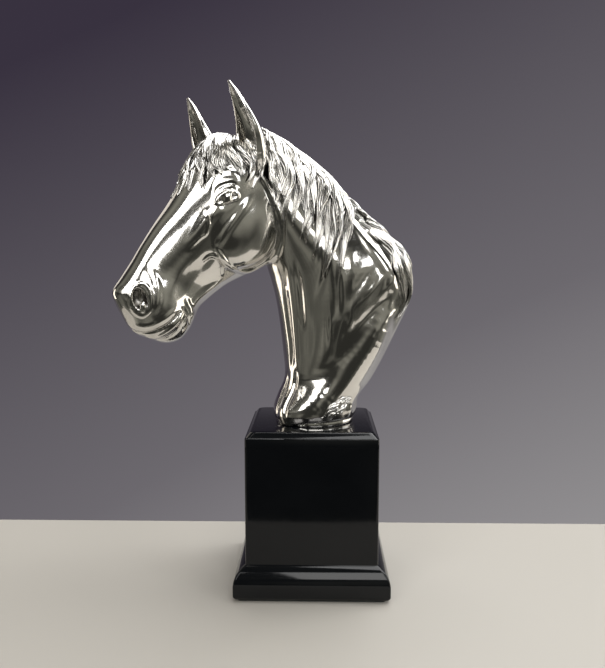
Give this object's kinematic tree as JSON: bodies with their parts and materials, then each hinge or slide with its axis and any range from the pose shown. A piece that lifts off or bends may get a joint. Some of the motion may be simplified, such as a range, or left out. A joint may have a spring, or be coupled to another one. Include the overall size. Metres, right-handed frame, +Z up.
{
  "type": "horse head statuette",
  "caption": "Silver-plated cast horse head and neck with flowing mane, its head turned to one side, bolted upright on a square black lacquered plinth; a decorative table statuette.",
  "frame": {"origin": "centre of the felt pad's underside, where the plinth stands", "axes": "+Z up; the horse looks toward -X with its head turned toward -Y, which is its own left"},
  "size_m": [0.1977, 0.1185, 0.3434],
  "materials": {
    "silver_plate": "polished",
    "silver_hair": "polished",
    "lacquer": "gloss",
    "bare_wood": "matte",
    "felt": "matte",
    "ballast": "matte",
    "brass": "satin",
    "steel": "satin"
  },
  "bodies": {
    "root": {"felt_pad": "felt", "bottom_board": "bare_wood", "corner_block_1": "bare_wood", "corner_block_2": "bare_wood", "corner_block_3": "bare_wood", "corner_block_4": "bare_wood", "ballast_disc": "ballast", "plinth_cap": "lacquer", "front_board": "lacquer", "right_board": "lacquer", "back_board": "lacquer", "left_board": "lacquer", "front_moulding": "lacquer", "right_moulding": "lacquer", "back_moulding": "lacquer", "left_moulding": "lacquer", "base_screw_1": "brass", "base_screw_2": "brass", "base_screw_3": "brass", "base_screw_4": "brass", "neck_casting": "silver_plate", "head_casting": "silver_plate", "near_ear": "silver_plate", "far_ear": "silver_plate", "forelock": "silver_hair", "near_mane": "silver_hair", "far_mane": "silver_hair", "mounting_plate": "brass", "mounting_stud": "steel", "stud_washer": "steel", "stud_nut": "steel", "locating_pin_1": "steel", "locating_pin_2": "steel"}
  },
  "joints": []
}
